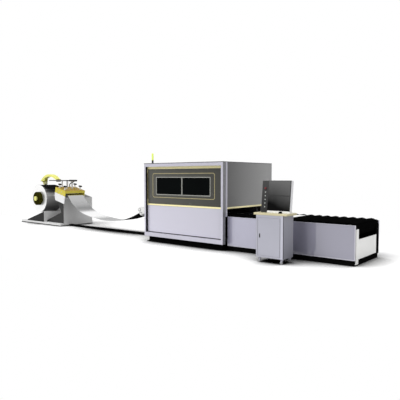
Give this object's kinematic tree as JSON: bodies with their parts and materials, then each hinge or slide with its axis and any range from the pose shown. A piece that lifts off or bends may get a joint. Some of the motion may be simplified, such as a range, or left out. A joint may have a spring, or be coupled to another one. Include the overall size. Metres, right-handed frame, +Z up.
{
  "type": "fiber laser cutting machine",
  "caption": "Coil-fed laser cutting line: decoiler and leveller, hanging strip loop, enclosed cutting cabin, slat conveyor table and a control console on casters.",
  "frame": {"origin": "centre of the cabin's anchor bolt pattern, on the floor", "axes": "+X the way the strip travels, from the decoiler to the conveyor table; +Y from the cabin's window side to its back; +Z up"},
  "size_m": [13.78, 2.88, 2.48],
  "materials": {
    "frame_paint": "semi-gloss light lavender-grey enamel",
    "dark_paint": "glossy dark warm grey enamel",
    "side_paint": "satin mid grey enamel",
    "trim_gold": "pale gold satin",
    "window_glass": "dark tinted laser-safe pane",
    "base_black": "matt black",
    "slat_black": "matt black scale",
    "table_white": "light grey enamel",
    "lamp": "translucent yellow-green lens",
    "bed_grey": "satin machine grey",
    "carriage_black": "anodised",
    "shaft_steel": "turned steel",
    "roll_white": "white enamel",
    "strip_steel": "bright rolled steel",
    "mandrel_dark": "dark olive enamel with worn edges",
    "leveller_yellow": "gloss yellow enamel",
    "stand_grey": "satin grey enamel",
    "base_dark": "dark grey enamel",
    "roller_rubber": "matt rubber cover",
    "handwheel_paint": "yellow post with dark cap",
    "console_paint": "light grey enamel",
    "desk_cream": "cream-gold enamel",
    "red_plastic": "gloss red",
    "button_plastic": "gloss, coloured",
    "mouse_plastic": "matt black",
    "caster_tyre": "black polyurethane"
  },
  "bodies": {
    "line": {"cabin_base": "base_black", "front_frame": "frame_paint", "front_upper_panel": "dark_paint", "front_lower_panel": "frame_paint", "trim_strips": "trim_gold", "window_frame": "dark_paint", "window_glass": "window_glass", "right_side_panel": "side_paint", "left_side_panel": "side_paint", "rear_panel": "side_paint", "roof_panel": "side_paint", "tower_light": "lamp", "machine_bed": "bed_grey", "table_frame": "base_black", "table_front_panel": "frame_paint", "table_rear_panel": "frame_paint", "table_end_panel": "table_white", "conveyor_slats": "slat_black", "entry_stand": "roll_white", "steel_strip": "strip_steel", "cable_trunking": "base_black", "decoiler_base": "base_dark", "leveller_stand": "stand_grey", "leveller_frame": "roll_white", "leveller_head": "leveller_yellow", "arm_beam": "base_dark", "console_cabinet": "console_paint", "desk_top": "desk_cream", "control_housing": "console_paint", "mouse": "mouse_plastic"},
    "gantry": {"gantry_beam": "bed_grey"},
    "carriage": {"head_carriage": "carriage_black"},
    "head": {"cutting_head": "carriage_black"},
    "drive_shaft": {"drive_shaft": "shaft_steel"},
    "entry_lower_roll": {"entry_lower_roll": "roll_white"},
    "entry_upper_roll": {"entry_upper_roll": "roll_white"},
    "coil": {"mandrel": "mandrel_dark", "steel_coil": "strip_steel"},
    "hold_down_arm": {"hold_down_arm": "leveller_yellow"},
    "press_roller": {"press_roller": "roller_rubber"},
    "leveller_roll_1": {"leveller_roll_1": "shaft_steel"},
    "leveller_roll_2": {"leveller_roll_2": "shaft_steel"},
    "leveller_roll_3": {"leveller_roll_3": "shaft_steel"},
    "leveller_roll_4": {"leveller_roll_4": "shaft_steel"},
    "leveller_roll_5": {"leveller_roll_5": "shaft_steel"},
    "handwheel_1": {"handwheel_1": "handwheel_paint"},
    "handwheel_2": {"handwheel_2": "handwheel_paint"},
    "handwheel_3": {"handwheel_3": "handwheel_paint"},
    "handwheel_4": {"handwheel_4": "handwheel_paint"},
    "console_door": {"console_door": "console_paint"},
    "estop_button": {"estop_button": "red_plastic"},
    "push_button_1": {"push_button_1": "button_plastic"},
    "push_button_2": {"push_button_2": "button_plastic"},
    "push_button_3": {"push_button_3": "button_plastic"},
    "push_button_4": {"push_button_4": "button_plastic"},
    "push_button_5": {"push_button_5": "button_plastic"},
    "caster_wheel_1": {"caster_wheel_1": "caster_tyre"},
    "caster_wheel_2": {"caster_wheel_2": "caster_tyre"},
    "caster_wheel_3": {"caster_wheel_3": "caster_tyre"},
    "caster_wheel_4": {"caster_wheel_4": "caster_tyre"}
  },
  "joints": [
    {"name": "gantry_slide", "type": "slide", "parent": "line", "child": "gantry", "axis": [1, 0, 0], "range_m": [-1.05, 1.05]},
    {"name": "carriage_slide", "type": "slide", "parent": "gantry", "child": "carriage", "axis": [0, 1, 0], "range_m": [-0.55, 0.55]},
    {"name": "head_slide", "type": "slide", "parent": "carriage", "child": "head", "axis": [0, 0, 1], "range_m": [-0.02, 0.08]},
    {"name": "drive_shaft_spin", "type": "hinge", "parent": "line", "child": "drive_shaft", "pos_m": [4.403, -0.214, 0.745], "axis": [0, 1, 0], "continuous": true},
    {"name": "entry_lower_spin", "type": "hinge", "parent": "line", "child": "entry_lower_roll", "pos_m": [-2.1423, -0.214, 0.70433], "axis": [0, 1, 0], "continuous": true},
    {"name": "entry_upper_spin", "type": "hinge", "parent": "line", "child": "entry_upper_roll", "pos_m": [-2.20358, -0.214, 0.82305], "axis": [0, 1, 0], "continuous": true},
    {"name": "coil_spin", "type": "hinge", "parent": "line", "child": "coil", "pos_m": [-7.95, -0.214, 0.985], "axis": [0, 1, 0], "continuous": true},
    {"name": "arm_lift", "type": "hinge", "parent": "line", "child": "hold_down_arm", "pos_m": [-7.11, -0.214, 1.68], "axis": [0, 1, 0], "range_deg": [0, 40]},
    {"name": "press_roller_spin", "type": "hinge", "parent": "hold_down_arm", "child": "press_roller", "pos_m": [-8.03285, -0.214, 1.57451], "axis": [0, 1, 0], "continuous": true},
    {"name": "leveller_roll_1_spin", "type": "hinge", "parent": "line", "child": "leveller_roll_1", "pos_m": [-6.61855, -0.214, 1.25412], "axis": [0, 1, 0], "continuous": true},
    {"name": "leveller_roll_2_spin", "type": "hinge", "parent": "line", "child": "leveller_roll_2", "pos_m": [-6.51385, -0.214, 1.30754], "axis": [0, 1, 0], "continuous": true},
    {"name": "leveller_roll_3_spin", "type": "hinge", "parent": "line", "child": "leveller_roll_3", "pos_m": [-6.44317, -0.214, 1.21363], "axis": [0, 1, 0], "continuous": true},
    {"name": "leveller_roll_4_spin", "type": "hinge", "parent": "line", "child": "leveller_roll_4", "pos_m": [-6.33847, -0.214, 1.26705], "axis": [0, 1, 0], "continuous": true},
    {"name": "leveller_roll_5_spin", "type": "hinge", "parent": "line", "child": "leveller_roll_5", "pos_m": [-6.26778, -0.214, 1.17314], "axis": [0, 1, 0], "continuous": true},
    {"name": "handwheel_1_turn", "type": "hinge", "parent": "line", "child": "handwheel_1", "pos_m": [-6.61037, -0.497, 1.42291], "axis": [0.225, 0, 0.9744], "range_deg": [-180, 180]},
    {"name": "handwheel_2_turn", "type": "hinge", "parent": "line", "child": "handwheel_2", "pos_m": [-6.27909, -0.497, 1.34642], "axis": [0.225, 0, 0.9744], "range_deg": [-180, 180]},
    {"name": "handwheel_3_turn", "type": "hinge", "parent": "line", "child": "handwheel_3", "pos_m": [-6.61037, 0.153, 1.42291], "axis": [0.225, 0, 0.9744], "range_deg": [-180, 180]},
    {"name": "handwheel_4_turn", "type": "hinge", "parent": "line", "child": "handwheel_4", "pos_m": [-6.27909, 0.153, 1.34642], "axis": [0.225, 0, 0.9744], "range_deg": [-180, 180]},
    {"name": "door_hinge", "type": "hinge", "parent": "line", "child": "console_door", "pos_m": [3.276, -1.715, 0.535], "axis": [0, 0, 1], "range_deg": [0, 100]},
    {"name": "estop_press", "type": "slide", "parent": "line", "child": "estop_button", "axis": [0, 0.9945, -0.1045], "range_m": [0, 0.006], "stiffness_N_per_m": 400},
    {"name": "push_button_1_press", "type": "slide", "parent": "line", "child": "push_button_1", "axis": [0, 0.9945, -0.1045], "range_m": [0, 0.003], "stiffness_N_per_m": 300},
    {"name": "push_button_2_press", "type": "slide", "parent": "line", "child": "push_button_2", "axis": [0, 0.9945, -0.1045], "range_m": [0, 0.003], "stiffness_N_per_m": 300},
    {"name": "push_button_3_press", "type": "slide", "parent": "line", "child": "push_button_3", "axis": [0, 0.9945, -0.1045], "range_m": [0, 0.003], "stiffness_N_per_m": 300},
    {"name": "push_button_4_press", "type": "slide", "parent": "line", "child": "push_button_4", "axis": [0, 0.9945, -0.1045], "range_m": [0, 0.003], "stiffness_N_per_m": 300},
    {"name": "push_button_5_press", "type": "slide", "parent": "line", "child": "push_button_5", "axis": [0, 0.9945, -0.1045], "range_m": [0, 0.003], "stiffness_N_per_m": 300},
    {"name": "caster_wheel_1_spin", "type": "hinge", "parent": "line", "child": "caster_wheel_1", "pos_m": [2.766, -1.673, 0.032], "axis": [0, 1, 0], "continuous": true},
    {"name": "caster_wheel_2_spin", "type": "hinge", "parent": "line", "child": "caster_wheel_2", "pos_m": [3.296, -1.673, 0.032], "axis": [0, 1, 0], "continuous": true},
    {"name": "caster_wheel_3_spin", "type": "hinge", "parent": "line", "child": "caster_wheel_3", "pos_m": [2.766, -1.333, 0.032], "axis": [0, 1, 0], "continuous": true},
    {"name": "caster_wheel_4_spin", "type": "hinge", "parent": "line", "child": "caster_wheel_4", "pos_m": [3.296, -1.333, 0.032], "axis": [0, 1, 0], "continuous": true}
  ],
  "couplings": [
    {"joint": "entry_upper_spin", "follows": "entry_lower_spin", "ratio": -1},
    {"joint": "leveller_roll_1_spin", "follows": "coil_spin", "ratio": 14.583},
    {"joint": "leveller_roll_2_spin", "follows": "coil_spin", "ratio": -14.583},
    {"joint": "leveller_roll_3_spin", "follows": "coil_spin", "ratio": 14.583},
    {"joint": "leveller_roll_4_spin", "follows": "coil_spin", "ratio": -14.583},
    {"joint": "leveller_roll_5_spin", "follows": "coil_spin", "ratio": 14.583}
  ]
}
